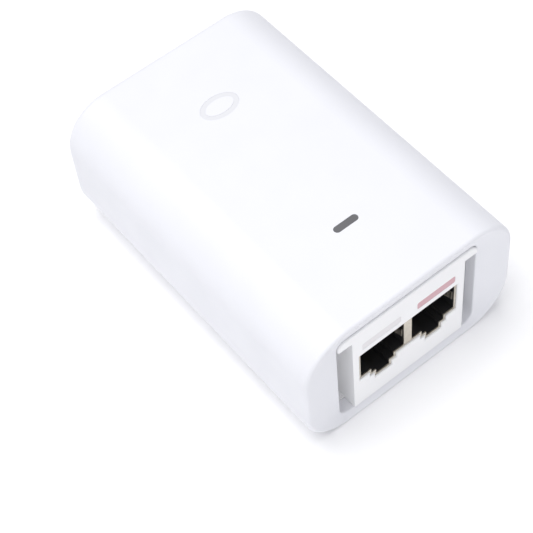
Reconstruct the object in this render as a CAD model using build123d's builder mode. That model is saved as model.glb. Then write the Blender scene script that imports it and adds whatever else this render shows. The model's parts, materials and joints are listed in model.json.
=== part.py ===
from build123d import *
import os

# Desktop PoE injector: a white sleeve with two network sockets and a mains inlet.
# The frame has +Z up, -Y towards the network sockets, +Y towards the mains inlet,
# and its origin at the centre of the underside.  All sizes are millimetres.

# ---- driving dimensions: housing -------------------------------------------
WIDTH = 56.0
LENGTH = 83.0
HEIGHT = 34.6
EDGE_R = 11.2            # radius of the four long edges
WALL = 2.0
FRONT_WALL = 4.0
FRONT_ROUND = 0.8        # small rounding where the sides meet the front rim
REAR_ROUND = 1.4
FRONT_Y = -LENGTH / 2
REAR_Y = LENGTH / 2
INNER_FRONT_Y = FRONT_Y + FRONT_WALL
MID_Z = HEIGHT / 2
RUN_GAP = 0.1            # gap left between separate shells
POST_SIZE = (6.6, 9.6, 6.0)
POST_OUTSET = 1.0        # of the post's middle beyond the screw
SCREW_BORE_FROM_Y = 27.0
PLATE_WIDTH = 30.0       # blank rating plate let into the underside
PLATE_LENGTH = 40.0
PLATE_R = 1.5
PLATE_Y = 6.0
PLATE_RECESS = 0.3
PLATE_THICKNESS = 0.2

# ---- driving dimensions: front opening and port panel ------------------------
OPENING_WIDTH = 37.5
OPENING_LOW_Z = 2.3
OPENING_HIGH_Z = 30.2
OPENING_R = 2.2
OPENING_MID_Z = (OPENING_LOW_Z + OPENING_HIGH_Z) / 2
OPENING_HEIGHT = OPENING_HIGH_Z - OPENING_LOW_Z
DISH_DEPTH = 1.1         # how far the whole rim falls back towards the opening
DISH_INSET = 0.9         # from the outline of the case to where the dish begins
OPENING_ROUND = 0.35
BLOCK_WIDTH = 30.3       # of the port block, between the two deep slots
BLOCK_SETBACK = 0.6
BLOCK_ROUND = 0.35
PANEL_THICKNESS = 2.0
FLANGE_LOW_Z = 2.25      # the panel's flange lies against the back of the rim
FLANGE_HIGH_Z = 30.8
FLANGE_OVERLAP = 1.8
SLOT_LOW_Z = 2.7         # deep slot on each side of the block
SLOT_HIGH_Z = 27.6
SLOT_DEPTH = 9.0
SLOT_WALL = 0.75
SLOT_WALL_R = 1.2
SLOT_BACK = 1.0
WINDOW_MARGIN = 0.55     # of metal face left showing round the mouths
WINDOW_CHAMFER = 0.2
BAR_X = 7.4              # coloured bars over the sockets
BAR_Z = 23.7
BAR_LENGTH = 10.4
BAR_WIDTH = 2.2
BAR_R = 0.5
BAR_POCKET = 0.25
BAR_THICKNESS = 0.22
BAR_DROP = 0.03          # of the bar's face below the block's

# ---- driving dimensions: network sockets -------------------------------------
PORT_PITCH = 13.97       # standard pitch of ganged eight-way sockets
PORT_WIDTH = 11.8
PORT_LOW_Z = 12.1
PORT_HIGH_Z = 20.4
PORT_MID_Z = (PORT_LOW_Z + PORT_HIGH_Z) / 2
PORT_DEPTH = 13.4
LATCH_WIDTH = 6.2
LATCH_LOW_Z = 10.6
KEY_WIDTH = 3.6
KEY_LOW_Z = 8.9
JACK_WIDTH = 27.0
JACK_HIGH_Z = 23.0
JACK_FRONT_Y = FRONT_Y + 1.3
NOSE_MARGIN = 0.35
JACK_DEPTH = 16.4
SHIELD_THICKNESS = 0.25
CONTACT_PITCH = 1.02
CONTACT_COUNT = 8
CONTACT_WIDTH = 0.4
CONTACT_THICKNESS = 0.35
CONTACT_DROP = 2.3       # from the front of a contact to its back
CONTACT_SETBACK = 2.6

# ---- driving dimensions: board -----------------------------------------------
BOARD_LOW_Z = 5.6
BOARD_THICKNESS = 1.6
BOARD_TOP_Z = BOARD_LOW_Z + BOARD_THICKNESS
BOARD_WIDTH = 47.0
BOARD_FRONT_Y = INNER_FRONT_Y + PANEL_THICKNESS + 0.4
BOARD_NOTCH_Y = FRONT_Y + SLOT_DEPTH + SLOT_BACK + 0.4
BOARD_REAR_Y = 38.4
POST_CUTOUT = (8.0, 12.0)     # corners of the board left open for the screw posts
POST_CUTOUT_Y = 34.0
VIA_PLACES = [(-8, -2), (8, -10), (-18, -24)]
VIA_R = 0.6
SHEET_WIDTH = 33.0            # insulation sheet on the floor of the case
SHEET_LENGTH = 52.0
SHEET_Y = 10.0
SHEET_THICKNESS = 0.3
LOWER_RAIL = (BOARD_LOW_Z - 0.85, 21.8, 25.0)     # mid height, inner x, outer x
UPPER_RAIL = (BOARD_TOP_Z + 0.85, 22.6, 26.4)
RAIL_MID_Y = -5.0
RAIL_LENGTH = 50.0
RAIL_THICKNESS = 1.5

# ---- driving dimensions: rear end --------------------------------------------
REAR_PANEL_THICKNESS = 2.2
REAR_SETBACK = 0.4
REAR_PANEL_OUT_Y = REAR_Y - REAR_SETBACK
REAR_PANEL_IN_Y = REAR_PANEL_OUT_Y - REAR_PANEL_THICKNESS
INLET_FRAME_WIDTH = 22.0
INLET_FRAME_HEIGHT = 18.6
INLET_MID_Z = 17.0
INLET_BODY_FRONT_Y = 25.0
INLET_PIN_SPREAD = 5.0
INLET_LIVE_Z = 14.6
INLET_EARTH_Z = 19.6
INLET_LOBE_R = 4.3
INLET_SOCKET_DEPTH = 12.5
INLET_PIN_R = 1.2
INLET_PIN_SHORT = 3.2         # from the tips of the pins to the mouth
SCREW_X = 22.4
SCREW_HEAD_R = 2.2
SCREW_HEAD_HEIGHT = 0.95
SCREW_HEAD_SINK = 1.0
SCREW_SHANK_R = 1.1
SCREW_LENGTH = 8.0
SCREW_CROSS = (2.8, 0.7)
SCREW_CROSS_FROM = 0.35       # from the underside of the head to the floor of the cross

# ---- driving dimensions: light, reset button ---------------------------------
LIGHT_Y = -21.5
LIGHT_LENGTH = 6.2
LIGHT_WIDTH = 1.7
LIGHT_BOTTOM_Z = 9.6
LIGHT_STEM_LENGTH = 4.0
LIGHT_STEM_WIDTH = 1.5
LIGHT_COLLAR = 0.7       # of the collar beyond the lens
LIGHT_COLLAR_HEIGHT = 1.2
MARK_Y = 20.6
MARK_LENGTH = 9.6
MARK_WIDTH = 6.4
MARK_LINE = 1.2          # breadth of the ring's line
MARK_DEPTH = 0.3
RESET_X = 12.0
RESET_Y = -26.0
RESET_HOLE_R = 1.6
RESET_BUTTON_R = 1.45
RESET_FLANGE_R = 2.6
RESET_FLANGE_HEIGHT = 0.8
RESET_STEM_R = 1.2
RESET_SINK = 0.35        # of the button's face above the underside
RESET_TRAVEL = 0.3
RESET_CLEARANCE = 0.06
RESET_GUIDE_SIDE = 7.6
RESET_GUIDE_HEIGHT = 1.9
SWITCH_SIZE = (5.2, 5.2, 1.3)

EPS = 0.02               # hairline gap between touching pieces inside the case

# ---- driving dimensions: components on the board, middle (x, y) and size (x, y, z) --
FUSE_AT = (16.2, 17.4)
FUSE_SIZE = (8.4, 4.0, 7.6)
DISC_LEAD_SIZE = (0.6, 0.6, 4.4)
VARISTOR_AT = (-20.2, 21.4)
VARISTOR_Z = 13.0
VARISTOR_R = 3.7
VARISTOR_THICKNESS = 3.6
VARISTOR_LEADS = 2.2          # from the middle to each lead
X_CAPACITOR_AT = (-15.9, 31.2)
X_CAPACITOR_SIZE = (6.4, 11.6, 12.0)
CHOKE_X = 15.9
CHOKE_Y = 30.0
CHOKE_CORE_SIZE = (3.6, 9.6, 11.4)
CHOKE_WINDOW = (4.0, 5.6)
CHOKE_LIFT = 6.4
CHOKE_LIMB = 3.4              # from the middle to each limb
CHOKE_COIL_SIZE = (6.6, 5.2, 4.8)
CHOKE_COIL_LIFT = 4.0
BRIDGE_AT = (-5.6, 22.3)
BRIDGE_SIZE = (4.7, 3.9, 2.5)
BULK_AT = (-14.0, 4.2)
BULK_R = 8.0
BULK_HEIGHT = 21.5
BULK_GROOVE_R = (5.9, 6.4)
BULK_GROOVE_DEPTH = 0.3
HEAT_SINK_AT = (-12.4, 14.2)
HEAT_SINK_SIZE = (17.0, 1.4, 18.0)
FIN_PLACES = [(-20.3, 15.9), (-4.5, 15.9)]
FIN_SIZE = (1.2, 2.2, 18.0)
POWER_BODY_SIZE = (10.0, 4.1, 9.0)     # body of the transistor and of the output diode
POWER_BODY_LIFT = 3.4
POWER_LEAD_SIZE = (0.8, 0.6, 3.5)
POWER_LEAD_PITCH = 2.54
TRANSISTOR_AT = (-12.4, 17.0)
TRANSISTOR_TAB_AT = (-12.4, 15.6)
TRANSISTOR_TAB_SIZE = (10.0, 1.2, 6.0)
TRANSISTOR_LEADS_Y = 16.8
TRANSFORMER_X = 11.2
TRANSFORMER_Y = 4.6
TRANSFORMER_Z = 9.4           # middle of the core over the board
CORE_SIZE = (17.6, 5.2, 15.6)
CORE_WINDOW = (12.4, 10.4)
CORE_LIMB = 4.8
CORE_LIMB_HEIGHT = 15.0
COIL_SIZE = (12.2, 13.6, 10.0)
COIL_LIFT = 4.4
BOBBIN_FOOT = 5.4             # from the middle to each foot
BOBBIN_SIZE = (15.0, 4.6, 4.0)
Y_CAPACITOR_AT = (4.6, 17.9)
Y_CAPACITOR_Z = 12.6
Y_CAPACITOR_R = 3.6
Y_CAPACITOR_THICKNESS = 3.0
Y_CAPACITOR_LEADS = 2.4
CHIP_AT = (2.4, 22.4)
CHIP_SIZE = (4.9, 3.9, 1.6)
OPTOCOUPLER_AT = (-3.3, -7.4)
OPTOCOUPLER_SIZE = (4.6, 6.4, 3.4)
DIODE_AT = (15.4, -6.4)
OUTPUT_CAN_PLACES = [(9.4, -14.4), (18.4, -14.4)]
OUTPUT_CAN_R = 4.0
OUTPUT_CAN_HEIGHT = 14.0
INDUCTOR_AT = (-16.6, -10.4)
INDUCTOR_R = 4.6
INDUCTOR_CORE_R = 3.6
INDUCTOR_FLANGE = 1.4
INDUCTOR_WAIST = 5.6
DATA_TRANSFORMER_AT = (-4.6, -15.4)
DATA_TRANSFORMER_SIZE = (12.8, 8.0, 5.4)
LED_SIZE = (2.0, 1.3, 0.9)
LED_DOME = (1.4, 1.1)
LED_DOME_HEIGHT = 0.5
LED_DOME_TAPER = 12.0

os.makedirs("parts", exist_ok=True)


def save(piece, name):
    """Label one finished piece and write it as its own STEP file."""
    piece.part.label = name
    export_step(piece.part, f"parts/{name}.step")


def y_plane(y):
    """Upright plane across the case at depth y: normal to the rear, x towards -X, y along Z."""
    return Plane(origin=(0, y, 0), x_dir=(-1, 0, 0), z_dir=(0, 1, 0))


# ---- housing -----------------------------------------------------------------
with BuildPart() as housing:
    with BuildSketch(y_plane(FRONT_Y)):
        with Locations((0, MID_Z)):
            RectangleRounded(WIDTH, HEIGHT, EDGE_R)
    extrude(amount=LENGTH)
    front_edges = housing.faces().sort_by(Axis.Y)[0].edges()
    fillet(front_edges, FRONT_ROUND)
    rear_edges = housing.faces().sort_by(Axis.Y)[-1].edges()
    fillet(rear_edges, REAR_ROUND)
    with BuildSketch(y_plane(INNER_FRONT_Y)):
        with Locations((0, MID_Z)):
            RectangleRounded(WIDTH - 2 * WALL, HEIGHT - 2 * WALL, EDGE_R - WALL)
    extrude(amount=LENGTH, mode=Mode.SUBTRACT)
    with BuildSketch(y_plane(FRONT_Y - 1)):
        with Locations((0, OPENING_MID_Z)):
            RectangleRounded(OPENING_WIDTH, OPENING_HEIGHT, OPENING_R)
    extrude(amount=FRONT_WALL + 2, mode=Mode.SUBTRACT)
    # the rim falls back gently towards the opening
    with BuildSketch(y_plane(FRONT_Y)):
        with Locations((0, MID_Z)):
            RectangleRounded(WIDTH - 2 * DISH_INSET, HEIGHT - 2 * DISH_INSET, EDGE_R - DISH_INSET)
    dish_floor_y = FRONT_Y + DISH_DEPTH
    with BuildSketch(y_plane(dish_floor_y)):
        with Locations((0, OPENING_MID_Z)):
            RectangleRounded(OPENING_WIDTH - 0.2, OPENING_HEIGHT - 0.2, OPENING_R)
    loft(mode=Mode.SUBTRACT)
    in_opening_x = OPENING_WIDTH / 2 + 0.1
    dish_edges = housing.edges().filter_by_position(Axis.Y, dish_floor_y - 0.15, dish_floor_y + 0.15)
    fillet(dish_edges.filter_by_position(Axis.X, -in_opening_x, in_opening_x), OPENING_ROUND)
    # rails that hold the edges of the board, on both side walls
    for side in (-1, 1):
        for rail_z, inner_x, outer_x in (LOWER_RAIL, UPPER_RAIL):
            with Locations((side * (inner_x + outer_x) / 2, RAIL_MID_Y, rail_z)):
                Box(outer_x - inner_x, RAIL_LENGTH, RAIL_THICKNESS)
    # screw posts at the rear end of both side walls
    post_x = SCREW_X + POST_OUTSET
    post_mid_y = REAR_PANEL_IN_Y - RUN_GAP - POST_SIZE[1] / 2
    with Locations((-post_x, post_mid_y, MID_Z), (post_x, post_mid_y, MID_Z)):
        Box(*POST_SIZE)
    with BuildSketch(y_plane(SCREW_BORE_FROM_Y)):
        with Locations((-SCREW_X, MID_Z), (SCREW_X, MID_Z)):
            Circle(SCREW_SHANK_R)
    extrude(amount=REAR_Y, mode=Mode.SUBTRACT)
    # slot for the light, pocket for the printed mark, hole for the reset button
    with BuildSketch(Plane.XY.offset(HEIGHT - WALL - 1)):
        with Locations((0, LIGHT_Y)):
            SlotOverall(LIGHT_LENGTH + 2 * EPS, LIGHT_WIDTH + 2 * EPS)
    extrude(amount=WALL + 2, mode=Mode.SUBTRACT)
    with BuildSketch(Plane.XY.offset(HEIGHT - MARK_DEPTH)):
        with Locations((0, MARK_Y)):
            Ellipse(MARK_LENGTH / 2, MARK_WIDTH / 2)
            Ellipse(MARK_LENGTH / 2 - MARK_LINE, MARK_WIDTH / 2 - MARK_LINE, mode=Mode.SUBTRACT)
    extrude(amount=1, mode=Mode.SUBTRACT)
    with BuildSketch(Plane.XY.offset(-1)):
        with Locations((RESET_X, RESET_Y)):
            Circle(RESET_HOLE_R)
    extrude(amount=WALL + 2, mode=Mode.SUBTRACT)
    # shallow recess for the blank rating plate
    with BuildSketch(Plane.XY):
        with Locations((0, PLATE_Y)):
            RectangleRounded(PLATE_WIDTH + 2 * RUN_GAP, PLATE_LENGTH + 2 * RUN_GAP, PLATE_R + RUN_GAP)
    extrude(amount=PLATE_RECESS, mode=Mode.SUBTRACT)
save(housing, "housing")

with BuildPart() as rating_plate:
    with BuildSketch(Plane.XY.offset(PLATE_RECESS - EPS - PLATE_THICKNESS)):
        with Locations((0, PLATE_Y)):
            RectangleRounded(PLATE_WIDTH, PLATE_LENGTH, PLATE_R)
    extrude(amount=PLATE_THICKNESS)
save(rating_plate, "rating_plate")

with BuildPart() as top_mark:
    with BuildSketch(Plane.XY.offset(HEIGHT - MARK_DEPTH)):
        with Locations((0, MARK_Y)):
            Ellipse(MARK_LENGTH / 2 - EPS, MARK_WIDTH / 2 - EPS)
            Ellipse(MARK_LENGTH / 2 - MARK_LINE + EPS, MARK_WIDTH / 2 - MARK_LINE + EPS, mode=Mode.SUBTRACT)
    extrude(amount=MARK_DEPTH - 2 * EPS)
save(top_mark, "top_mark")

# the three stacked steps of a socket mouth: width, lowest and highest z
MOUTH_STEPS = [
    (PORT_WIDTH, PORT_LOW_Z, PORT_HIGH_Z),
    (LATCH_WIDTH, LATCH_LOW_Z, PORT_MID_Z),
    (KEY_WIDTH, KEY_LOW_Z, PORT_MID_Z),
]


def socket_outline(margin, joined=False):
    """Sketch both socket mouths with their latch and key steps, grown by margin all round.

    joined also fills the strip between the two mouths.
    """
    for side in (-1, 1):
        for width, low_z, high_z in MOUTH_STEPS:
            bottom = low_z - margin
            top = high_z + (margin if high_z == PORT_HIGH_Z else 0)
            with Locations((side * PORT_PITCH / 2, (bottom + top) / 2)):
                Rectangle(width + 2 * margin, top - bottom)
    if joined:
        with Locations((0, PORT_MID_Z)):
            Rectangle(PORT_PITCH - PORT_WIDTH + 1, PORT_HIGH_Z - PORT_LOW_Z + 2 * margin)


# ---- port panel: a flange behind the rim, and a block that stands out through it ---
slot_width = (OPENING_WIDTH - BLOCK_WIDTH) / 2
slot_mid_x = (OPENING_WIDTH + BLOCK_WIDTH) / 4
flange_front_y = INNER_FRONT_Y + RUN_GAP
block_front_y = FRONT_Y + BLOCK_SETBACK


def slot_middles(low_z, high_z):
    """Middles of the two slots beside the block, for a height from low_z to high_z."""
    return [(side * slot_mid_x, (low_z + high_z) / 2) for side in (-1, 1)]


with BuildPart() as port_panel:
    with BuildSketch(y_plane(flange_front_y)):
        with Locations((0, (FLANGE_LOW_Z + FLANGE_HIGH_Z) / 2)):
            RectangleRounded(OPENING_WIDTH + 2 * FLANGE_OVERLAP, FLANGE_HIGH_Z - FLANGE_LOW_Z,
                             OPENING_R + 1)
    extrude(amount=PANEL_THICKNESS)
    pocket_high_z = SLOT_HIGH_Z + SLOT_WALL
    with BuildSketch(y_plane(flange_front_y)):
        with Locations(*slot_middles(FLANGE_LOW_Z, pocket_high_z)):
            RectangleRounded(slot_width + 2 * SLOT_WALL, pocket_high_z - FLANGE_LOW_Z, SLOT_WALL_R)
    extrude(amount=FRONT_Y + SLOT_DEPTH + SLOT_BACK - flange_front_y)
    with BuildSketch(y_plane(block_front_y)):
        with Locations((0, OPENING_MID_Z)):
            RectangleRounded(OPENING_WIDTH - 2 * RUN_GAP, OPENING_HEIGHT - 2 * RUN_GAP, OPENING_R)
    extrude(amount=flange_front_y - block_front_y)
    fillet(port_panel.faces().sort_by(Axis.Y)[0].edges(), BLOCK_ROUND)
    # each slot is open downwards in the block, and a closed pocket in the flange behind it
    for low_z, cut_depth in ((OPENING_LOW_Z - 1, flange_front_y - FRONT_Y), (SLOT_LOW_Z, SLOT_DEPTH)):
        with BuildSketch(y_plane(FRONT_Y)):
            with Locations(*slot_middles(low_z, SLOT_HIGH_Z)):
                Rectangle(slot_width, SLOT_HIGH_Z - low_z)
        extrude(amount=cut_depth, mode=Mode.SUBTRACT)
    with BuildSketch(y_plane(FRONT_Y - 1)):
        socket_outline(WINDOW_MARGIN, joined=True)
    extrude(amount=FRONT_WALL + PANEL_THICKNESS + 3, mode=Mode.SUBTRACT)
    window_rim = port_panel.faces().sort_by(Axis.Y)[0].inner_wires()
    chamfer(window_rim.edges(), WINDOW_CHAMFER)
    # room behind the panel for the shielded sockets
    with BuildSketch(y_plane(INNER_FRONT_Y)):
        with Locations((0, (BOARD_TOP_Z + JACK_HIGH_Z) / 2)):
            Rectangle(JACK_WIDTH + 2 * SHIELD_THICKNESS + 3 * RUN_GAP, JACK_HIGH_Z - BOARD_TOP_Z + 0.9)
    extrude(amount=PANEL_THICKNESS + 1, mode=Mode.SUBTRACT)
    # pockets for the two coloured bars over the sockets
    with BuildSketch(y_plane(FRONT_Y)):
        with Locations((-BAR_X, BAR_Z), (BAR_X, BAR_Z)):
            RectangleRounded(BAR_LENGTH, BAR_WIDTH, BAR_R)
    extrude(amount=BLOCK_SETBACK + BAR_POCKET, mode=Mode.SUBTRACT)
save(port_panel, "port_panel")

for bar_name, bar_x in (("data_port_bar", -BAR_X), ("power_port_bar", BAR_X)):
    with BuildPart() as port_bar:
        with BuildSketch(y_plane(block_front_y + BAR_DROP)):
            with Locations((-bar_x, BAR_Z)):
                RectangleRounded(BAR_LENGTH - 2 * EPS, BAR_WIDTH - 2 * EPS, BAR_R - EPS)
        extrude(amount=BAR_THICKNESS)
    save(port_bar, bar_name)

# ---- network sockets -----------------------------------------------------------
jack_mid_z = (BOARD_TOP_Z + EPS + JACK_HIGH_Z) / 2
jack_height = JACK_HIGH_Z - BOARD_TOP_Z - EPS
jack_body_y = INNER_FRONT_Y + 0.35
with BuildPart() as jack_housing:
    with BuildSketch(y_plane(jack_body_y)):
        with Locations((0, jack_mid_z)):
            Rectangle(JACK_WIDTH, jack_height)
    extrude(amount=JACK_FRONT_Y + JACK_DEPTH - jack_body_y)
    # the nose that shows in the window follows the mouths
    with BuildSketch(y_plane(JACK_FRONT_Y)):
        socket_outline(NOSE_MARGIN, joined=True)
    extrude(amount=jack_body_y - JACK_FRONT_Y)
    with BuildSketch(y_plane(JACK_FRONT_Y - 1)):
        socket_outline(0)
    extrude(amount=PORT_DEPTH + 1, mode=Mode.SUBTRACT)
save(jack_housing, "jack_housing")

# the shield is a bent tin can round the body, open at the mouths and underneath
shield_top_z = JACK_HIGH_Z + SHIELD_THICKNESS + EPS
shield_mid_z = (BOARD_TOP_Z + EPS + shield_top_z) / 2
with BuildPart() as jack_shield:
    with BuildSketch(y_plane(jack_body_y - SHIELD_THICKNESS)):
        with Locations((0, shield_mid_z)):
            Rectangle(JACK_WIDTH + 2 * SHIELD_THICKNESS + 2 * EPS, shield_top_z - BOARD_TOP_Z - EPS)
    extrude(amount=JACK_DEPTH - 2.5 + SHIELD_THICKNESS)
    with BuildSketch(y_plane(jack_body_y - EPS)):
        with Locations((0, (BOARD_TOP_Z - 1 + JACK_HIGH_Z + EPS) / 2)):
            Rectangle(JACK_WIDTH + 2 * EPS, JACK_HIGH_Z + EPS - BOARD_TOP_Z + 1)
    extrude(amount=JACK_DEPTH, mode=Mode.SUBTRACT)
    with BuildSketch(y_plane(FRONT_Y)):
        socket_outline(NOSE_MARGIN + EPS, joined=True)
    extrude(amount=FRONT_WALL + 2, mode=Mode.SUBTRACT)
save(jack_shield, "jack_shield")

# the shield's face plate, with both mouths cut through it
with BuildPart() as jack_face_plate:
    with BuildSketch(y_plane(JACK_FRONT_Y - EPS - SHIELD_THICKNESS)):
        socket_outline(WINDOW_MARGIN - RUN_GAP, joined=True)
        with BuildSketch(mode=Mode.SUBTRACT):
            socket_outline(0)
    extrude(amount=SHIELD_THICKNESS)
save(jack_face_plate, "jack_face_plate")

# eight sprung contacts hang from the roof of each socket and slope to the back
contact_front_y = JACK_FRONT_Y + CONTACT_SETBACK
contact_back_y = JACK_FRONT_Y + PORT_DEPTH - 0.3
contact_top_z = PORT_HIGH_Z - 0.05
for side_name, port_x in (("left", -PORT_PITCH / 2), ("right", PORT_PITCH / 2)):
    with BuildPart() as contacts:
        for index in range(CONTACT_COUNT):
            contact_x = port_x + (index - (CONTACT_COUNT - 1) / 2) * CONTACT_PITCH
            low_x = contact_x - CONTACT_WIDTH / 2
            with BuildSketch(Plane(origin=(low_x, 0, 0), x_dir=(0, 1, 0), z_dir=(1, 0, 0))):
                with BuildLine():
                    Polyline((contact_front_y, contact_top_z),
                             (contact_front_y, contact_top_z - CONTACT_THICKNESS),
                             (contact_back_y, contact_top_z - CONTACT_THICKNESS - CONTACT_DROP),
                             (contact_back_y, contact_top_z - CONTACT_DROP),
                             (contact_front_y + 0.4, contact_top_z), close=True)
                make_face()
            extrude(amount=CONTACT_WIDTH)
    save(contacts, f"{side_name}_port_contacts")

# ---- board ---------------------------------------------------------------------
board_length = BOARD_REAR_Y - BOARD_FRONT_Y
board_mid_y = (BOARD_REAR_Y + BOARD_FRONT_Y) / 2
with BuildPart() as main_board:
    with BuildSketch(Plane.XY.offset(BOARD_LOW_Z)):
        with Locations((0, board_mid_y)):
            Rectangle(BOARD_WIDTH, board_length)
        cutout_x = BOARD_WIDTH / 2 - 1
        with Locations((-cutout_x, POST_CUTOUT_Y), (cutout_x, POST_CUTOUT_Y)):
            Rectangle(*POST_CUTOUT, mode=Mode.SUBTRACT)
        # a tongue carries the sockets between the two deep slots of the port panel
        notch_inner_x = BLOCK_WIDTH / 2 - SLOT_WALL - 0.45
        notch_width = BOARD_WIDTH / 2 - notch_inner_x + 1
        notch_x = notch_inner_x + notch_width / 2
        with Locations((-notch_x, BOARD_FRONT_Y), (notch_x, BOARD_FRONT_Y)):
            Rectangle(notch_width, 2 * (BOARD_NOTCH_Y - BOARD_FRONT_Y), mode=Mode.SUBTRACT)
        with Locations(*VIA_PLACES):
            Circle(VIA_R, mode=Mode.SUBTRACT)
    extrude(amount=BOARD_THICKNESS)
save(main_board, "main_board")

with BuildPart() as insulation_sheet:
    with BuildSketch(Plane.XY.offset(WALL + EPS)):
        with Locations((0, SHEET_Y)):
            RectangleRounded(SHEET_WIDTH, SHEET_LENGTH, 1)
    extrude(amount=SHEET_THICKNESS)
save(insulation_sheet, "insulation_sheet")

seat_z = BOARD_TOP_Z + EPS


def stand_box(place, size, low_z=seat_z):
    """A box standing on the board, with its middle at place."""
    with Locations((*place, low_z + size[2] / 2)):
        Box(*size)


def stand_can(place, radius, height, low_z=seat_z):
    """An upright can standing on the board, with its axis at place."""
    with Locations((*place, low_z + height / 2)):
        Cylinder(radius, height)


def stand_power_leads(x, y):
    """The three leads of a power transistor or diode, in a row along X."""
    for step in (-1, 0, 1):
        stand_box((x + step * POWER_LEAD_PITCH, y), POWER_LEAD_SIZE)


# ---- mains side of the board -----------------------------------------------------
with BuildPart() as inlet_body:
    inlet_mid_y = (INLET_BODY_FRONT_Y + REAR_PANEL_IN_Y) / 2
    with Locations((0, inlet_mid_y, (seat_z + INLET_MID_Z + INLET_FRAME_HEIGHT / 2 + 1) / 2)):
        Box(INLET_FRAME_WIDTH + 1.6, REAR_PANEL_IN_Y - INLET_BODY_FRONT_Y - RUN_GAP,
            INLET_MID_Z + INLET_FRAME_HEIGHT / 2 + 1 - seat_z)
    with BuildSketch(y_plane(REAR_PANEL_IN_Y - 1)):
        with Locations((0, INLET_MID_Z)):
            RectangleRounded(INLET_FRAME_WIDTH, INLET_FRAME_HEIGHT, 1.5)
    extrude(amount=REAR_PANEL_THICKNESS + 1 + 0.2)
    fillet(inlet_body.faces().sort_by(Axis.Y)[-1].edges(), 0.4)
    with BuildSketch(y_plane(REAR_Y + 1)):
        with Locations((0, INLET_LIVE_Z)):
            SlotCenterToCenter(2 * INLET_PIN_SPREAD, 2 * INLET_LOBE_R)
        with Locations((0, INLET_EARTH_Z)):
            Circle(INLET_LOBE_R)
    extrude(amount=-INLET_SOCKET_DEPTH - 1, mode=Mode.SUBTRACT)
save(inlet_body, "inlet_body")

inlet_floor_y = REAR_Y - INLET_SOCKET_DEPTH
with BuildPart() as inlet_pins:
    with BuildSketch(y_plane(inlet_floor_y + EPS)):
        with Locations((-INLET_PIN_SPREAD, INLET_LIVE_Z), (INLET_PIN_SPREAD, INLET_LIVE_Z),
                       (0, INLET_EARTH_Z)):
            Circle(INLET_PIN_R)
    extrude(amount=INLET_SOCKET_DEPTH - INLET_PIN_SHORT)
    fillet(inlet_pins.faces().group_by(Axis.Y)[-1].edges(), 0.7)
save(inlet_pins, "inlet_pins")

with BuildPart() as rear_panel:
    with BuildSketch(y_plane(REAR_PANEL_IN_Y)):
        with Locations((0, MID_Z)):
            RectangleRounded(WIDTH - 2 * WALL - 2 * RUN_GAP, HEIGHT - 2 * WALL - 2 * RUN_GAP,
                             EDGE_R - WALL - RUN_GAP)
    extrude(amount=REAR_PANEL_THICKNESS)
    fillet(rear_panel.faces().sort_by(Axis.Y)[-1].edges(), 0.4)
    with BuildSketch(y_plane(REAR_PANEL_IN_Y - 1)):
        with Locations((0, INLET_MID_Z)):
            RectangleRounded(INLET_FRAME_WIDTH + 2 * RUN_GAP, INLET_FRAME_HEIGHT + 2 * RUN_GAP, 1.6)
        with Locations((-SCREW_X, MID_Z), (SCREW_X, MID_Z)):
            Circle(SCREW_SHANK_R + RUN_GAP)
    extrude(amount=REAR_PANEL_THICKNESS + 2, mode=Mode.SUBTRACT)
    with BuildSketch(y_plane(REAR_PANEL_OUT_Y - SCREW_HEAD_SINK)):
        with Locations((-SCREW_X, MID_Z), (SCREW_X, MID_Z)):
            Circle(SCREW_HEAD_R + RUN_GAP)
    extrude(amount=2, mode=Mode.SUBTRACT)
save(rear_panel, "rear_panel")

with BuildPart() as cover_screws:
    head_seat_y = REAR_PANEL_OUT_Y - SCREW_HEAD_SINK
    for side in (-1, 1):
        with BuildSketch(y_plane(head_seat_y)):
            with Locations((side * SCREW_X, MID_Z)):
                Circle(SCREW_HEAD_R)
        extrude(amount=SCREW_HEAD_HEIGHT)
        with BuildSketch(y_plane(head_seat_y - SCREW_LENGTH)):
            with Locations((side * SCREW_X, MID_Z)):
                Circle(SCREW_SHANK_R - EPS)
        extrude(amount=SCREW_LENGTH + 0.2)
    with BuildSketch(y_plane(head_seat_y + SCREW_CROSS_FROM)):
        with Locations((-SCREW_X, MID_Z), (SCREW_X, MID_Z)):
            Rectangle(*SCREW_CROSS)
            Rectangle(*reversed(SCREW_CROSS))
    extrude(amount=SCREW_HEAD_HEIGHT, mode=Mode.SUBTRACT)
save(cover_screws, "cover_screws")

with BuildPart() as fuse:
    stand_box(FUSE_AT, FUSE_SIZE)
    fillet(fuse.edges().filter_by(Axis.Z), 0.5)
save(fuse, "fuse")

with BuildPart() as varistor:
    varistor_x, varistor_y = VARISTOR_AT
    with BuildSketch(Plane.YZ.offset(varistor_x - VARISTOR_THICKNESS / 2)):
        with Locations((varistor_y, VARISTOR_Z)):
            Circle(VARISTOR_R)
    extrude(amount=VARISTOR_THICKNESS)
    fillet(varistor.edges(), 1.0)
    for side in (-1, 1):
        stand_box((varistor_x, varistor_y + side * VARISTOR_LEADS), DISC_LEAD_SIZE)
save(varistor, "varistor")

with BuildPart() as x_capacitor:
    stand_box(X_CAPACITOR_AT, X_CAPACITOR_SIZE)
    fillet(x_capacitor.edges().filter_by(Axis.Z), 0.5)
save(x_capacitor, "x_capacitor")

with BuildPart() as choke_core:
    with BuildSketch(Plane.YZ.offset(CHOKE_X - CHOKE_CORE_SIZE[0] / 2)):
        with Locations((CHOKE_Y, seat_z + CHOKE_LIFT)):
            Rectangle(*CHOKE_CORE_SIZE[1:])
            Rectangle(*CHOKE_WINDOW, mode=Mode.SUBTRACT)
    extrude(amount=CHOKE_CORE_SIZE[0])
save(choke_core, "choke_core")

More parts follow.
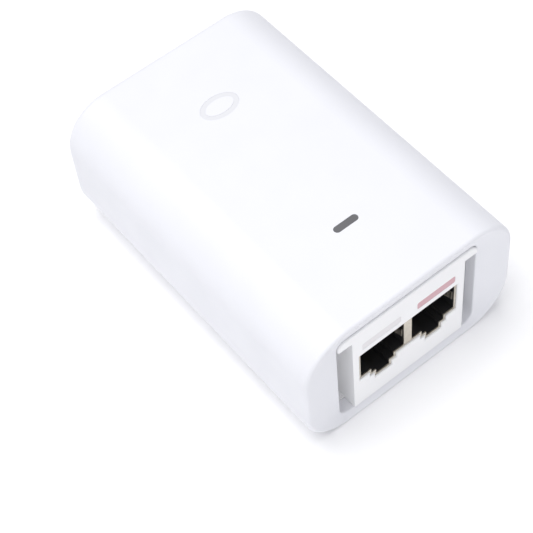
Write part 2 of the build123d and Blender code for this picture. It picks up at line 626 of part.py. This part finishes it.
with BuildPart() as choke_windings:
    limb_width = (CHOKE_CORE_SIZE[1] - CHOKE_WINDOW[0]) / 2
    for side in (-1, 1):
        with BuildSketch(Plane.XY.offset(seat_z + CHOKE_COIL_LIFT)):
            with Locations((CHOKE_X, CHOKE_Y + side * CHOKE_LIMB)):
                RectangleRounded(CHOKE_COIL_SIZE[0], CHOKE_COIL_SIZE[1], 1.2)
                Rectangle(CHOKE_CORE_SIZE[0] + 2 * EPS, limb_width + 2 * EPS, mode=Mode.SUBTRACT)
        extrude(amount=CHOKE_COIL_SIZE[2])
save(choke_windings, "choke_windings")

with BuildPart() as bridge_rectifier:
    stand_box(BRIDGE_AT, BRIDGE_SIZE)
    fillet(bridge_rectifier.edges().filter_by(Axis.Z), 0.3)
save(bridge_rectifier, "bridge_rectifier")

with BuildPart() as bulk_capacitor:
    stand_can(BULK_AT, BULK_R, BULK_HEIGHT)
    fillet(bulk_capacitor.faces().sort_by(Axis.Z)[-1].edges(), 0.8)
    groove_inner_r, groove_outer_r = BULK_GROOVE_R
    with BuildSketch(Plane.XY.offset(seat_z + BULK_HEIGHT - BULK_GROOVE_DEPTH)):
        with Locations(BULK_AT):
            Circle(groove_outer_r)
            Circle(groove_inner_r, mode=Mode.SUBTRACT)
    extrude(amount=1, mode=Mode.SUBTRACT)
save(bulk_capacitor, "bulk_capacitor")

with BuildPart() as heat_sink:
    stand_box(HEAT_SINK_AT, HEAT_SINK_SIZE)
    for fin_place in FIN_PLACES:
        stand_box(fin_place, FIN_SIZE)
save(heat_sink, "heat_sink")

with BuildPart() as switching_transistor:
    body_low_z = seat_z + POWER_BODY_LIFT
    stand_box(TRANSISTOR_AT, POWER_BODY_SIZE, body_low_z)
    stand_box(TRANSISTOR_TAB_AT, TRANSISTOR_TAB_SIZE, body_low_z + POWER_BODY_SIZE[2])
    stand_power_leads(TRANSISTOR_AT[0], TRANSISTOR_LEADS_Y)
save(switching_transistor, "switching_transistor")

# ---- isolation and output side of the board ----------------------------------------
with BuildPart() as transformer_core:
    with BuildSketch(Plane.XZ.offset(-TRANSFORMER_Y - CORE_SIZE[1] / 2)):
        with Locations((TRANSFORMER_X, seat_z + TRANSFORMER_Z)):
            Rectangle(CORE_SIZE[0], CORE_SIZE[2])
            Rectangle(*CORE_WINDOW, mode=Mode.SUBTRACT)
            Rectangle(CORE_LIMB, CORE_LIMB_HEIGHT)
    extrude(amount=CORE_SIZE[1])
save(transformer_core, "transformer_core")

with BuildPart() as transformer_coil:
    with BuildSketch(Plane.XY.offset(seat_z + COIL_LIFT)):
        with Locations((TRANSFORMER_X, TRANSFORMER_Y)):
            RectangleRounded(COIL_SIZE[0], COIL_SIZE[1], 3)
            Rectangle(CORE_LIMB + 2 * EPS, CORE_SIZE[1] + 2 * EPS, mode=Mode.SUBTRACT)
    extrude(amount=COIL_SIZE[2])
save(transformer_coil, "transformer_coil")

with BuildPart() as transformer_bobbin:
    for side in (-1, 1):
        stand_box((TRANSFORMER_X, TRANSFORMER_Y + side * BOBBIN_FOOT), BOBBIN_SIZE)
save(transformer_bobbin, "transformer_bobbin")

with BuildPart() as y_capacitor:
    disc_x, disc_y = Y_CAPACITOR_AT
    with BuildSketch(Plane.XZ.offset(-disc_y - Y_CAPACITOR_THICKNESS / 2)):
        with Locations((disc_x, Y_CAPACITOR_Z)):
            Circle(Y_CAPACITOR_R)
    extrude(amount=Y_CAPACITOR_THICKNESS)
    fillet(y_capacitor.edges(), 0.9)
    for side in (-1, 1):
        stand_box((disc_x + side * Y_CAPACITOR_LEADS, disc_y), DISC_LEAD_SIZE)
save(y_capacitor, "y_capacitor")

with BuildPart() as control_chip:
    stand_box(CHIP_AT, CHIP_SIZE)
save(control_chip, "control_chip")

with BuildPart() as optocoupler:
    stand_box(OPTOCOUPLER_AT, OPTOCOUPLER_SIZE)
save(optocoupler, "optocoupler")

with BuildPart() as output_diode:
    stand_box(DIODE_AT, POWER_BODY_SIZE, seat_z + POWER_BODY_LIFT)
    stand_power_leads(*DIODE_AT)
save(output_diode, "output_diode")

with BuildPart() as output_capacitors:
    for can_place in OUTPUT_CAN_PLACES:
        stand_can(can_place, OUTPUT_CAN_R, OUTPUT_CAN_HEIGHT)
    fillet(output_capacitors.faces().group_by(Axis.Z)[-1].edges(), 0.5)
save(output_capacitors, "output_capacitors")

with BuildPart() as output_inductor:
    stand_can(INDUCTOR_AT, INDUCTOR_R, INDUCTOR_FLANGE)
    stand_can(INDUCTOR_AT, INDUCTOR_CORE_R, INDUCTOR_WAIST, seat_z + INDUCTOR_FLANGE)
    stand_can(INDUCTOR_AT, INDUCTOR_R, INDUCTOR_FLANGE, seat_z + INDUCTOR_FLANGE + INDUCTOR_WAIST)
save(output_inductor, "output_inductor")

with BuildPart() as data_transformer:
    stand_box(DATA_TRANSFORMER_AT, DATA_TRANSFORMER_SIZE)
    fillet(data_transformer.edges().filter_by(Axis.Z), 0.4)
save(data_transformer, "data_transformer")

# ---- status light ------------------------------------------------------------------
with BuildPart() as status_led:
    stand_box((0, LIGHT_Y), LED_SIZE)
    with BuildSketch(Plane.XY.offset(seat_z + LED_SIZE[2])):
        with Locations((0, LIGHT_Y)):
            Rectangle(*LED_DOME)
    extrude(amount=LED_DOME_HEIGHT, taper=LED_DOME_TAPER)
save(status_led, "status_led")

# a narrow stem, a collar under the roof of the case and the lens in the slot
collar_low_z = HEIGHT - WALL - LIGHT_COLLAR_HEIGHT
with BuildPart() as light_pipe:
    with BuildSketch(Plane.XY.offset(LIGHT_BOTTOM_Z)):
        with Locations((0, LIGHT_Y)):
            SlotOverall(LIGHT_STEM_LENGTH, LIGHT_STEM_WIDTH)
    extrude(amount=collar_low_z - LIGHT_BOTTOM_Z)
    with BuildSketch(Plane.XY.offset(collar_low_z)):
        with Locations((0, LIGHT_Y)):
            SlotOverall(LIGHT_LENGTH + 2 * LIGHT_COLLAR, LIGHT_WIDTH + 2 * LIGHT_COLLAR)
    extrude(amount=LIGHT_COLLAR_HEIGHT - EPS)
    with BuildSketch(Plane.XY.offset(HEIGHT - WALL - EPS)):
        with Locations((0, LIGHT_Y)):
            SlotOverall(LIGHT_LENGTH, LIGHT_WIDTH)
    extrude(amount=WALL + EPS - 0.05)
    fillet(light_pipe.faces().sort_by(Axis.Z)[-1].edges(), 0.12)
save(light_pipe, "light_pipe")

# ---- reset button and its switch ------------------------------------------------------
switch_high_z = BOARD_LOW_Z - EPS
switch_low_z = switch_high_z - SWITCH_SIZE[2]
with BuildPart() as reset_switch:
    with Locations((RESET_X, RESET_Y, (switch_low_z + switch_high_z) / 2)):
        Box(*SWITCH_SIZE)
save(reset_switch, "reset_switch")

# the guide ring under the switch holds the button square to the floor
with BuildPart() as reset_guide:
    with BuildSketch(Plane.XY.offset(WALL + EPS)):
        with Locations((RESET_X, RESET_Y)):
            RectangleRounded(RESET_GUIDE_SIDE, RESET_GUIDE_SIDE, 1)
            Circle(RESET_FLANGE_R + 0.15, mode=Mode.SUBTRACT)
    extrude(amount=RESET_GUIDE_HEIGHT)
save(reset_guide, "reset_guide")

flange_low_z = WALL + RESET_CLEARANCE
flange_high_z = flange_low_z + RESET_FLANGE_HEIGHT
stem_high_z = switch_low_z - RESET_TRAVEL - RESET_CLEARANCE
with BuildPart() as reset_button:
    with BuildSketch(Plane.XY.offset(RESET_SINK)):
        with Locations((RESET_X, RESET_Y)):
            Circle(RESET_BUTTON_R)
    extrude(amount=flange_low_z - RESET_SINK + RUN_GAP)
    fillet(reset_button.faces().sort_by(Axis.Z)[0].edges(), 0.3)
    with BuildSketch(Plane.XY.offset(flange_low_z)):
        with Locations((RESET_X, RESET_Y)):
            Circle(RESET_FLANGE_R)
    extrude(amount=RESET_FLANGE_HEIGHT)
    with BuildSketch(Plane.XY.offset(flange_high_z)):
        with Locations((RESET_X, RESET_Y)):
            Circle(RESET_STEM_R)
    extrude(amount=stem_high_z - flange_high_z)
save(reset_button, "reset_button")
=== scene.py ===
"""Looks, light and camera for a desktop PoE injector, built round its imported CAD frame.

The frame is in metres: +Z up, -Y towards the network sockets, +Y towards the mains inlet.
"""
import json
import math

import bmesh
import bpy
from mathutils import Matrix, Vector


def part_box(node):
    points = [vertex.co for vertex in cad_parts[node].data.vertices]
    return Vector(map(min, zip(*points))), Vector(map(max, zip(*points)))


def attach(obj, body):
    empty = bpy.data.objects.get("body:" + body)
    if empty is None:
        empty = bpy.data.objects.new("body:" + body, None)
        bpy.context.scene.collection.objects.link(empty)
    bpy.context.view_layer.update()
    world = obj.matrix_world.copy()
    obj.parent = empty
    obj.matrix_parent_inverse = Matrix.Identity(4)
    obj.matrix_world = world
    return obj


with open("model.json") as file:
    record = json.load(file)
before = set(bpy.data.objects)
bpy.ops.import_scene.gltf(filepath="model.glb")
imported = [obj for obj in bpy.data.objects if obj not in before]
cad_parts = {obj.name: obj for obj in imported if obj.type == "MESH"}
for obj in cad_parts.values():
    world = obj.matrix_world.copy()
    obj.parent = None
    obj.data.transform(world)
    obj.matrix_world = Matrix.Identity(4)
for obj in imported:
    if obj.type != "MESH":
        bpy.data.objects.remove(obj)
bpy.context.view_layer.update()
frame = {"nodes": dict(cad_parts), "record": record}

MM = 0.001
nodes = frame["nodes"]

# ---- camera ------------------------------------------------------------------
VIEW_AZIMUTH = math.radians(-33.0)      # from straight in front of the sockets, towards -X
VIEW_ELEVATION = math.radians(55.0)
VIEW_ROLL = math.radians(-7.0)
VIEW_DISTANCE = 0.343
VIEW_TARGET = Vector((0.0, 0.0, 0.016))
AIM_RIGHT = -0.004                      # how far beside and below the target the camera aims
AIM_UP = -0.0114
LENS = 105.5
SENSOR = 36.0
CLIP_START = 0.01


def add_camera():
    """A camera at the viewing angle, aimed just beside the middle of the case."""
    flat = math.cos(VIEW_ELEVATION)
    toward_camera = Vector((math.sin(VIEW_AZIMUTH) * flat, -math.cos(VIEW_AZIMUTH) * flat,
                            math.sin(VIEW_ELEVATION)))
    data = bpy.data.cameras.new("camera")
    data.lens = LENS
    data.sensor_width = SENSOR
    data.clip_start = CLIP_START
    camera = bpy.data.objects.new("camera", data)
    bpy.context.scene.collection.objects.link(camera)
    upright = (-toward_camera).to_track_quat("-Z", "Y").to_matrix().to_4x4()
    turned = upright @ Matrix.Rotation(VIEW_ROLL, 4, "Z")
    shift = turned.to_3x3() @ Vector((AIM_RIGHT, AIM_UP, 0.0))
    place = VIEW_TARGET + toward_camera * VIEW_DISTANCE + shift
    camera.matrix_world = Matrix.Translation(place) @ turned
    bpy.context.scene.camera = camera


# ---- material building blocks ---------------------------------------------------
MIX_FACTOR = 0                          # colour sockets of the Mix node, by number
MIX_FIRST = 6
MIX_SECOND = 7
MIX_RESULT = 2

GRAIN_SIZE = 0.35 * MM                  # spark-eroded surface of moulded plastic
GRAIN_RELIEF = 0.012 * MM
CLOUD_SIZE = 14 * MM
GLOSS_PATCH = 6 * MM
STREAK_SIZE = 0.4 * MM                  # rolled or plated metal
STREAK_RELIEF = 0.004 * MM
TARNISH_SIZE = 3 * MM
INK_SPECKLE = 0.12 * MM
INK_RELIEF = 0.006 * MM


class Maker:
    """One node material under construction: a shader, its coordinates and small helpers."""

    def __init__(self, name, color, roughness, **sockets):
        self.material = bpy.data.materials.new(name)
        self.material.use_nodes = True
        self.tree = self.material.node_tree
        self.shader = self.tree.nodes["Principled BSDF"]
        self.shader.inputs["Base Color"].default_value = (*color, 1.0)
        self.shader.inputs["Roughness"].default_value = roughness
        for label, value in sockets.items():
            self.shader.inputs[label.replace("_", " ")].default_value = value
        self.coordinates = self.tree.nodes.new("ShaderNodeTexCoord").outputs["Object"]
        self.height = None

    def link(self, output, target):
        self.tree.links.new(output, target)

    def noise(self, size, detail, stretch=(1.0, 1.0, 1.0)):
        """Noise whose grains are about size metres across, drawn out along an axis by stretch."""
        mapping = self.tree.nodes.new("ShaderNodeMapping")
        mapping.inputs["Scale"].default_value = [1.0 / factor for factor in stretch]
        self.link(self.coordinates, mapping.inputs["Vector"])
        noise = self.tree.nodes.new("ShaderNodeTexNoise")
        noise.inputs["Scale"].default_value = 1.0 / size
        noise.inputs["Detail"].default_value = detail
        self.link(mapping.outputs["Vector"], noise.inputs["Vector"])
        return noise.outputs["Fac"]

    def ramp(self, value, low, high, low_at=0.35, high_at=0.65):
        """Carries a value over to between low and high."""
        span = self.tree.nodes.new("ShaderNodeMapRange")
        span.inputs["From Min"].default_value = low_at
        span.inputs["From Max"].default_value = high_at
        span.inputs["To Min"].default_value = low
        span.inputs["To Max"].default_value = high
        self.link(value, span.inputs["Value"])
        return span.outputs["Result"]

    def vary_roughness(self, value, low, high):
        self.link(self.ramp(value, low, high), self.shader.inputs["Roughness"])

    def vary_color(self, value, first, second, low_at=0.35, high_at=0.65):
        mix = self.tree.nodes.new("ShaderNodeMix")
        mix.data_type = "RGBA"
        mix.inputs[MIX_FIRST].default_value = (*first, 1.0)
        mix.inputs[MIX_SECOND].default_value = (*second, 1.0)
        self.link(self.ramp(value, 0.0, 1.0, low_at, high_at), mix.inputs[MIX_FACTOR])
        self.link(mix.outputs[MIX_RESULT], self.shader.inputs["Base Color"])

    def bump(self, value, depth):
        """Adds relief: value from 0 to 1 stands for depth metres of height."""
        bump = self.tree.nodes.new("ShaderNodeBump")
        bump.inputs["Distance"].default_value = depth
        bump.inputs["Strength"].default_value = 1.0
        self.link(value, bump.inputs["Height"])
        if self.height is not None:
            self.link(self.height, bump.inputs["Normal"])
        self.height = bump.outputs["Normal"]
        self.link(self.height, self.shader.inputs["Normal"])


def moulded_plastic(name, color, shade, roughness, grain=GRAIN_SIZE, relief=GRAIN_RELIEF, **sockets):
    """Spark-eroded moulded plastic: fine grain, faint clouding in colour and gloss."""
    maker = Maker(name, color, roughness, **sockets)
    maker.vary_color(maker.noise(CLOUD_SIZE, 2.0), color, shade)
    maker.vary_roughness(maker.noise(GLOSS_PATCH, 4.0), roughness - 0.05, roughness + 0.06)
    maker.bump(maker.noise(grain, 2.0), relief)
    return maker.material


def metal(name, color, shade, roughness, stretch=(1.0, 1.0, 1.0)):
    """Rolled or plated metal: drawn-out streaks in colour, gloss and relief."""
    maker = Maker(name, color, roughness, Metallic=1.0)
    streak = maker.noise(STREAK_SIZE, 3.0, stretch)
    maker.vary_color(maker.noise(TARNISH_SIZE, 4.0), color, shade)
    maker.vary_roughness(streak, roughness - 0.08, roughness + 0.12)
    maker.bump(streak, STREAK_RELIEF)
    return maker.material


def print_ink(name, color, shade, roughness):
    """Pad-printed ink: a little uneven in cover, with the plastic's grain under it."""
    maker = Maker(name, color, roughness)
    maker.vary_color(maker.noise(INK_SPECKLE, 4.0), color, shade, 0.3, 0.8)
    maker.bump(maker.noise(GRAIN_SIZE, 2.0), INK_RELIEF)
    return maker.material


def make_materials():
    """One material for each slot of the record."""
    return {
        "white_shell": moulded_plastic("white_shell", (0.81, 0.815, 0.85), (0.80, 0.805, 0.84),
                                       0.42, Specular_IOR_Level=0.45),
        "white_panel": moulded_plastic("white_panel", (0.93, 0.93, 0.935), (0.92, 0.92, 0.926),
                                       0.46),
        "black_plastic": moulded_plastic("black_plastic", (0.014, 0.014, 0.015),
                                         (0.02, 0.02, 0.021), 0.38),
        "label_film": moulded_plastic("label_film", (0.74, 0.75, 0.77), (0.71, 0.72, 0.74),
                                      0.3, 2 * MM, 0.01 * MM),
        "mark_ink": print_ink("mark_ink", (0.72, 0.725, 0.75), (0.76, 0.765, 0.79), 0.4),
        "grey_ink": print_ink("grey_ink", (0.78, 0.76, 0.77), (0.82, 0.80, 0.81), 0.4),
        "red_ink": print_ink("red_ink", (0.62, 0.36, 0.40), (0.68, 0.43, 0.47), 0.4),
        "tinned_steel": metal("tinned_steel", (0.66, 0.61, 0.52), (0.56, 0.52, 0.45),
                              0.34, (6.0, 1.0, 1.0)),
        "gold_plate": metal("gold_plate", (0.86, 0.62, 0.24), (0.78, 0.55, 0.22),
                            0.24, (1.0, 5.0, 1.0)),
        "nickel_plate": metal("nickel_plate", (0.66, 0.64, 0.60), (0.58, 0.56, 0.53),
                              0.22, (1.0, 5.0, 1.0)),
        "dark_steel": metal("dark_steel", (0.20, 0.20, 0.21), (0.13, 0.13, 0.14), 0.36),
        "bare_aluminium": metal("bare_aluminium", (0.76, 0.77, 0.78), (0.70, 0.71, 0.72),
                                0.36, (1.0, 1.0, 8.0)),
        "copper_wire": metal("copper_wire", (0.62, 0.28, 0.12), (0.50, 0.21, 0.09),
                             0.28, (8.0, 8.0, 1.0)),
        "board_green": moulded_plastic("board_green", (0.03, 0.17, 0.07), (0.02, 0.13, 0.05), 0.28),
        "clear_film": moulded_plastic("clear_film", (0.80, 0.81, 0.79), (0.77, 0.78, 0.76), 0.3),
        "dark_resin": moulded_plastic("dark_resin", (0.03, 0.03, 0.032), (0.045, 0.045, 0.046),
                                      0.48),
        "blue_resin": moulded_plastic("blue_resin", (0.05, 0.13, 0.38), (0.07, 0.16, 0.42), 0.26),
        "yellow_plastic": moulded_plastic("yellow_plastic", (0.80, 0.58, 0.08), (0.75, 0.53, 0.07),
                                          0.32),
        "yellow_tape": moulded_plastic("yellow_tape", (0.85, 0.70, 0.16), (0.78, 0.62, 0.12), 0.34),
        "ferrite": moulded_plastic("ferrite", (0.05, 0.05, 0.052), (0.08, 0.08, 0.08), 0.62),
        "can_sleeve": moulded_plastic("can_sleeve", (0.03, 0.035, 0.06), (0.04, 0.045, 0.07), 0.24),
        "led_resin": moulded_plastic("led_resin", (0.80, 0.80, 0.72), (0.76, 0.76, 0.70), 0.2),
        "smoke_lens": moulded_plastic("smoke_lens", (0.13, 0.13, 0.137), (0.17, 0.17, 0.175),
                                      0.18, 2 * MM, 0.004 * MM, Coat_Weight=0.6, Coat_Roughness=0.08),
    }


def paint_nodes(materials):
    """Gives every CAD node its slot's material."""
    for entry in frame["record"]["subparts"]:
        mesh = nodes[entry["node"]].data
        mesh.materials.clear()
        mesh.materials.append(materials[entry["material_slot"]])


# ---- small pieces made here ----------------------------------------------------------
def add_piece(name, vertices, faces, materials, slot):
    """A flat-shaded mesh piece that rides on the case and takes a slot's finish."""
    mesh = bpy.data.meshes.new(name)
    mesh.from_pydata(vertices, [], faces)
    mesh.materials.append(materials[slot])
    piece = bpy.data.objects.new(name, mesh)
    bpy.context.scene.collection.objects.link(piece)
    tidy = bmesh.new()
    tidy.from_mesh(mesh)
    bmesh.ops.recalc_face_normals(tidy, faces=tidy.faces)
    for face in tidy.faces:
        face.smooth = False
    tidy.to_mesh(mesh)
    tidy.free()
    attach(piece, "case")


def swept_strip(path, across, width, thickness):
    """A closed strip along path, a list of points, each with its thickness direction.

    across is the unit vector of the strip's width; each point of path is (place, normal).
    """
    vertices = []
    for place, normal in path:
        for side, level in ((-0.5, 0.0), (0.5, 0.0), (0.5, 1.0), (-0.5, 1.0)):
            vertices.append(place + across * side * width + normal * level * thickness)
    faces = [(0, 1, 2, 3), tuple(len(vertices) - 4 + corner for corner in (3, 2, 1, 0))]
    for ring in range(len(path) - 1):
        start = 4 * ring
        for corner in range(4):
            following = (corner + 1) % 4
            faces.append((start + corner, start + 4 + corner, start + 4 + following, start + following))
    return vertices, faces


SIDES = ("left", "right")
MOUTH_WIDTH = 11.8 * MM
TONGUE_LENGTH = 6.0 * MM
TONGUE_WIDTH = 2.6 * MM
TONGUE_BULGE = 0.55 * MM
TONGUE_THICKNESS = 0.18 * MM
TONGUE_WALL_GAP = 0.02 * MM
TONGUE_SETBACK = 0.3 * MM               # from the back of the face plate
TONGUE_HEIGHT_SHARE = 0.62              # how far up the face plate the tongues sit
TONGUE_BOW_RATE = 1.15                  # above 1, the tongue lies flat again before its tip
TONGUE_STEPS = 16


def tongue_path(port_x, wall, start_y, middle_z):
    """A tongue's line along one side wall, bowed towards the middle of its mouth."""
    path = []
    for step in range(TONGUE_STEPS + 1):
        share = step / TONGUE_STEPS
        bow = TONGUE_BULGE * math.sin(math.pi * min(share * TONGUE_BOW_RATE, 1.0)) ** 2
        offset = MOUTH_WIDTH / 2 - TONGUE_WALL_GAP - TONGUE_THICKNESS - bow
        place = Vector((port_x + wall * offset, start_y + share * TONGUE_LENGTH, middle_z))
        path.append((place, Vector((wall, 0.0, 0.0))))
    return path


def add_shield_tongues(materials):
    """Sprung tongues of the shield that bow in from both side walls of each mouth."""
    plate_low, plate_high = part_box("jack_face_plate")
    start_y = plate_high[1] + TONGUE_SETBACK
    middle_z = plate_low[2] + TONGUE_HEIGHT_SHARE * (plate_high[2] - plate_low[2])
    for side in SIDES:
        contacts_low, contacts_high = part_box(f"{side}_port_contacts")
        port_x = (contacts_low[0] + contacts_high[0]) / 2
        for wall in (-1, 1):
            position = "outer" if (wall > 0) == (side == "right") else "inner"
            path = tongue_path(port_x, wall, start_y, middle_z)
            vertices, faces = swept_strip(path, Vector((0.0, 0.0, 1.0)), TONGUE_WIDTH, TONGUE_THICKNESS)
            add_piece(f"{side}_port_tongue_{position}", vertices, faces, materials, "tinned_steel")


CONTACTS = 8
CONTACT_HALF_WIDTH = 0.2 * MM
COMB_HEIGHT = 0.9 * MM
COMB_DEPTH = 2.2 * MM
COMB_RIB = 0.34 * MM
COMB_NOSE = 0.9 * MM                    # how far a rib reaches out in front of the contacts
COMB_NOSE_HEIGHT = 0.25 * MM
COMB_SLOPE_END = 0.1 * MM
COMB_OVERLAP = 0.03 * MM                # into the roof of the mouth


def add_contact_combs(materials):
    """Moulded ribs that part the contacts at the roof of each mouth, with sloped noses."""
    for side in SIDES:
        low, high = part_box(f"{side}_port_contacts")
        pitch = (high[0] - low[0] - 2 * CONTACT_HALF_WIDTH) / (CONTACTS - 1)
        front, back = low[1] - COMB_NOSE, low[1] + COMB_DEPTH
        roof, bottom = high[2] + COMB_OVERLAP, high[2] - COMB_HEIGHT
        profile = [(front, roof), (front, high[2] - COMB_NOSE_HEIGHT),
                   (low[1] + COMB_SLOPE_END, bottom), (back, bottom), (back, roof)]
        count = len(profile)
        vertices = []
        faces = []
        for rib in range(CONTACTS + 1):
            rib_x = low[0] + CONTACT_HALF_WIDTH + (rib - 0.5) * pitch
            start = len(vertices)
            for half in (-0.5, 0.5):
                vertices.extend((rib_x + half * COMB_RIB, y, z) for y, z in profile)
            faces.append(tuple(start + index for index in range(count)))
            faces.append(tuple(start + 2 * count - 1 - index for index in range(count)))
            for index in range(count):
                following = (index + 1) % count
                faces.append((start + index, start + count + index,
                              start + count + following, start + following))
        add_piece(f"{side}_port_comb", vertices, faces, materials, "black_plastic")


BORDER_INSET = 1.2 * MM
BORDER_WIDTH = 0.35 * MM
BORDER_LIFT = 0.03 * MM
BORDER_RADIUS = 1.0 * MM
CORNER_STEPS = 8


def rounded_outline(low_x, low_y, high_x, high_y, radius):
    """Corner points of a rounded rectangle, in order."""
    points = []
    corners = ((high_x - radius, high_y - radius, 0), (low_x + radius, high_y - radius, 1),
               (low_x + radius, low_y + radius, 2), (high_x - radius, low_y + radius, 3))
    for centre_x, centre_y, quarter in corners:
        for step in range(CORNER_STEPS + 1):
            angle = math.pi / 2 * (quarter + step / CORNER_STEPS)
            points.append((centre_x + radius * math.cos(angle), centre_y + radius * math.sin(angle)))
    return points


def add_plate_border(materials):
    """A thin printed frame on the blank rating plate."""
    low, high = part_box("rating_plate")
    outer = rounded_outline(low[0] + BORDER_INSET, low[1] + BORDER_INSET,
                            high[0] - BORDER_INSET, high[1] - BORDER_INSET, BORDER_RADIUS)
    inset = BORDER_INSET + BORDER_WIDTH
    inner = rounded_outline(low[0] + inset, low[1] + inset,
                            high[0] - inset, high[1] - inset, BORDER_RADIUS - BORDER_WIDTH)
    count = len(outer)
    vertices = []
    for z in (low[2] - BORDER_LIFT, low[2] + BORDER_LIFT):
        vertices.extend((x, y, z) for x, y in outer)
        vertices.extend((x, y, z) for x, y in inner)
    faces = []
    for index in range(count):
        following = (index + 1) % count
        for first, second in ((0, 1), (1, 3), (3, 2), (2, 0)):
            faces.append((first * count + index, first * count + following,
                          second * count + following, second * count + index))
    add_piece("rating_plate_border", vertices, faces, materials, "grey_ink")


# ---- studio ----------------------------------------------------------------------
FLOOR_DROP = 0.02 * MM
FLOOR_GLOW = 0.06                       # a little light of its own, so that it stays white
FLOOR_HALF_WIDTH = 4.0
FLOOR_COLOR = (0.93, 0.93, 0.935)
FLOOR_SHADE = (0.925, 0.925, 0.93)
FLOOR_CLOUD = 0.3
FLOOR_ROUGHNESS = 0.7
SURROUND_COLOR = (0.93, 0.94, 1.0)
SURROUND_STRENGTH = 0.45


def add_floor():
    """A plain pale floor that runs far behind the case, a hair under it."""
    mesh = bpy.data.meshes.new("floor")
    corners = [(x * FLOOR_HALF_WIDTH, y * FLOOR_HALF_WIDTH, -FLOOR_DROP)
               for x, y in ((-1, -1), (1, -1), (1, 1), (-1, 1))]
    mesh.from_pydata(corners, [], [(0, 1, 2, 3)])
    floor = bpy.data.objects.new("floor", mesh)
    bpy.context.scene.collection.objects.link(floor)
    maker = Maker("pale_floor", FLOOR_COLOR, FLOOR_ROUGHNESS)
    maker.vary_color(maker.noise(FLOOR_CLOUD, 2.0), FLOOR_COLOR, FLOOR_SHADE)
    maker.shader.inputs["Emission Color"].default_value = (1.0, 1.0, 1.0, 1.0)
    maker.shader.inputs["Emission Strength"].default_value = FLOOR_GLOW
    mesh.materials.append(maker.material)


def add_softbox(name, place, size, power, color=(1.0, 1.0, 1.0)):
    """A square area light aimed at the middle of the case."""
    data = bpy.data.lights.new(name, "AREA")
    data.shape = "SQUARE"
    data.size = size
    data.energy = power
    data.color = color
    light = bpy.data.objects.new(name, data)
    bpy.context.scene.collection.objects.link(light)
    aim = (VIEW_TARGET - Vector(place)).to_track_quat("-Z", "Y").to_matrix().to_4x4()
    light.matrix_world = Matrix.Translation(place) @ aim


def add_studio():
    """Even high-key light: a pale surround, one large top box and two weaker side boxes."""
    world = bpy.data.worlds.new("surround")
    bpy.context.scene.world = world
    world.use_nodes = True
    background = world.node_tree.nodes["Background"]
    background.inputs["Color"].default_value = (*SURROUND_COLOR, 1.0)
    background.inputs["Strength"].default_value = SURROUND_STRENGTH
    add_softbox("top_box", (-0.15, 0.1, 0.9), 0.8, 7.3, (1.0, 0.995, 0.99))
    add_softbox("front_box", (-0.4, -0.9, 0.35), 0.7, 2.15)
    add_softbox("side_box", (-0.9, 0.1, 0.35), 0.7, 0.2, (0.93, 0.95, 1.0))
    settings = bpy.context.scene.view_settings
    settings.view_transform = "Standard"
    settings.look = "None"


add_camera()
materials = make_materials()
paint_nodes(materials)
add_shield_tongues(materials)
add_contact_combs(materials)
add_plate_border(materials)
add_floor()
add_studio()
